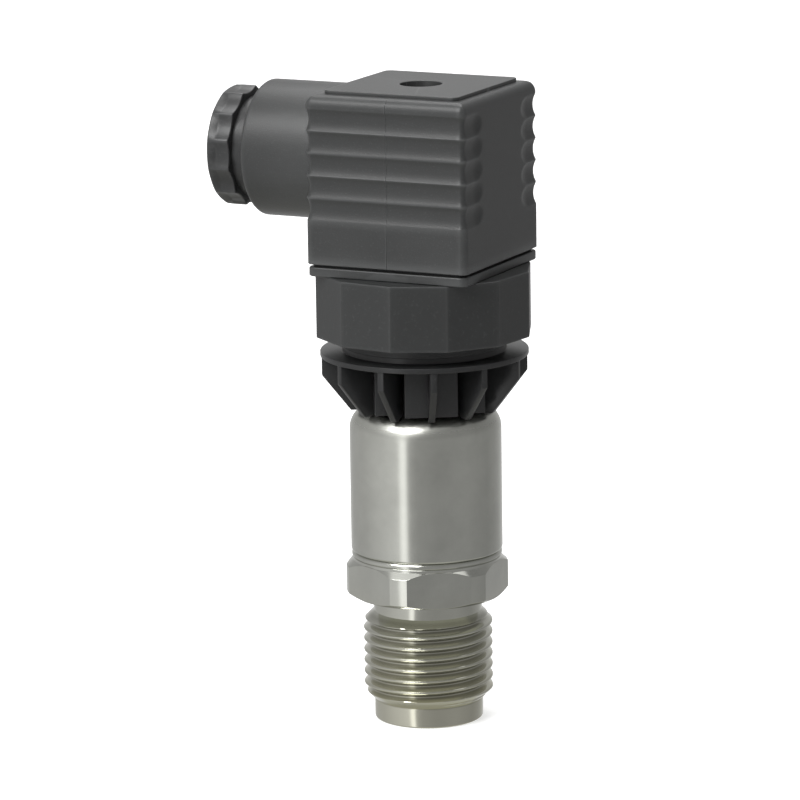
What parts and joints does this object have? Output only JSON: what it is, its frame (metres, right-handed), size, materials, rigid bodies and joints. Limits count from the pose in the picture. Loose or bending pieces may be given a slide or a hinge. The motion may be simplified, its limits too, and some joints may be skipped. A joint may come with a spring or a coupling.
{
  "type": "pressure transmitter",
  "caption": "Pressure transmitter with a threaded steel process fitting, a sensor can, a finned cooling collar and a square right-angle plug with a cable gland.",
  "frame": {"origin": "centre of the process fitting's end face, at the bottom", "axes": "+Z along the sensor axis to the plug, -X along the cable gland, -Y the plug's front grooved face"},
  "size_m": [0.0512, 0.0348, 0.1037],
  "materials": {
    "turned_steel": "bright turned",
    "drawn_steel": "satin",
    "seal_rubber": "matte",
    "ceramic": "ground ceramic",
    "board": "solder resist",
    "gold_wire": "plated",
    "chip": "moulded",
    "tinned_wire": "tinned",
    "collar_plastic": "moulded, slightly glossy",
    "adapter_plastic": "moulded satin",
    "carrier_plastic": "moulded satin",
    "contact_metal": "tinned",
    "bush_brass": "machined",
    "plug_plastic": "fine grained moulding",
    "insert_plastic": "moulded",
    "gland_plastic": "moulded satin",
    "screw_steel": "zinc plated"
  },
  "bodies": {
    "sensor": {"process_fitting": "turned_steel", "cell_seal": "seal_rubber", "measuring_cell": "ceramic", "cell_lock_ring": "turned_steel", "sensor_can": "drawn_steel", "main_board": "board", "cell_pins": "gold_wire", "amplifier_chip": "chip", "capacitors": "chip", "lead_wire_1": "tinned_wire", "lead_wire_2": "tinned_wire", "lead_wire_3": "tinned_wire", "lead_wire_4": "tinned_wire", "cooling_collar": "collar_plastic", "collar_seal": "seal_rubber", "stem_nut": "turned_steel", "adapter_body": "adapter_plastic", "top_board": "board", "pin_carrier": "carrier_plastic", "contact_pin_1": "contact_metal", "contact_pin_2": "contact_metal", "contact_pin_3": "contact_metal", "earth_pin": "contact_metal", "screw_bush": "bush_brass", "profile_gasket": "seal_rubber"},
    "plug": {"plug_housing": "plug_plastic", "terminal_insert": "insert_plastic", "terminal_contact_1": "bush_brass", "terminal_contact_2": "bush_brass", "terminal_contact_3": "bush_brass", "earth_contact": "bush_brass", "terminal_screws": "screw_steel", "gland_seal": "seal_rubber"},
    "washer": {"screw_washer": "screw_steel"},
    "screw": {"centre_screw": "screw_steel"},
    "ring": {"thrust_ring": "gland_plastic"},
    "nut": {"gland_nut": "gland_plastic"}
  },
  "joints": [
    {"name": "plug_pull", "type": "slide", "parent": "sensor", "child": "plug", "axis": [0, 0, 1], "range_m": [0, 0.02]},
    {"name": "screw_lift", "type": "slide", "parent": "plug", "child": "washer", "axis": [0, 0, 1], "range_m": [0, 0.006]},
    {"name": "screw_turn", "type": "hinge", "parent": "washer", "child": "screw", "pos_m": [0, 0, 0.098], "axis": [0, 0, 1], "range_deg": [0, 4320]},
    {"name": "gland_slide", "type": "slide", "parent": "plug", "child": "ring", "axis": [-1, 0, 0], "range_m": [-0.00079, 0.0054]},
    {"name": "gland_turn", "type": "hinge", "parent": "ring", "child": "nut", "pos_m": [-0.03, 0, 0.09205], "axis": [-1, 0, 0], "range_deg": [-190, 1296]}
  ],
  "couplings": [
    {"joint": "screw_turn", "follows": "screw_lift", "rad_per_m": 12566},
    {"joint": "gland_turn", "follows": "gland_slide", "rad_per_m": 4188.8}
  ]
}
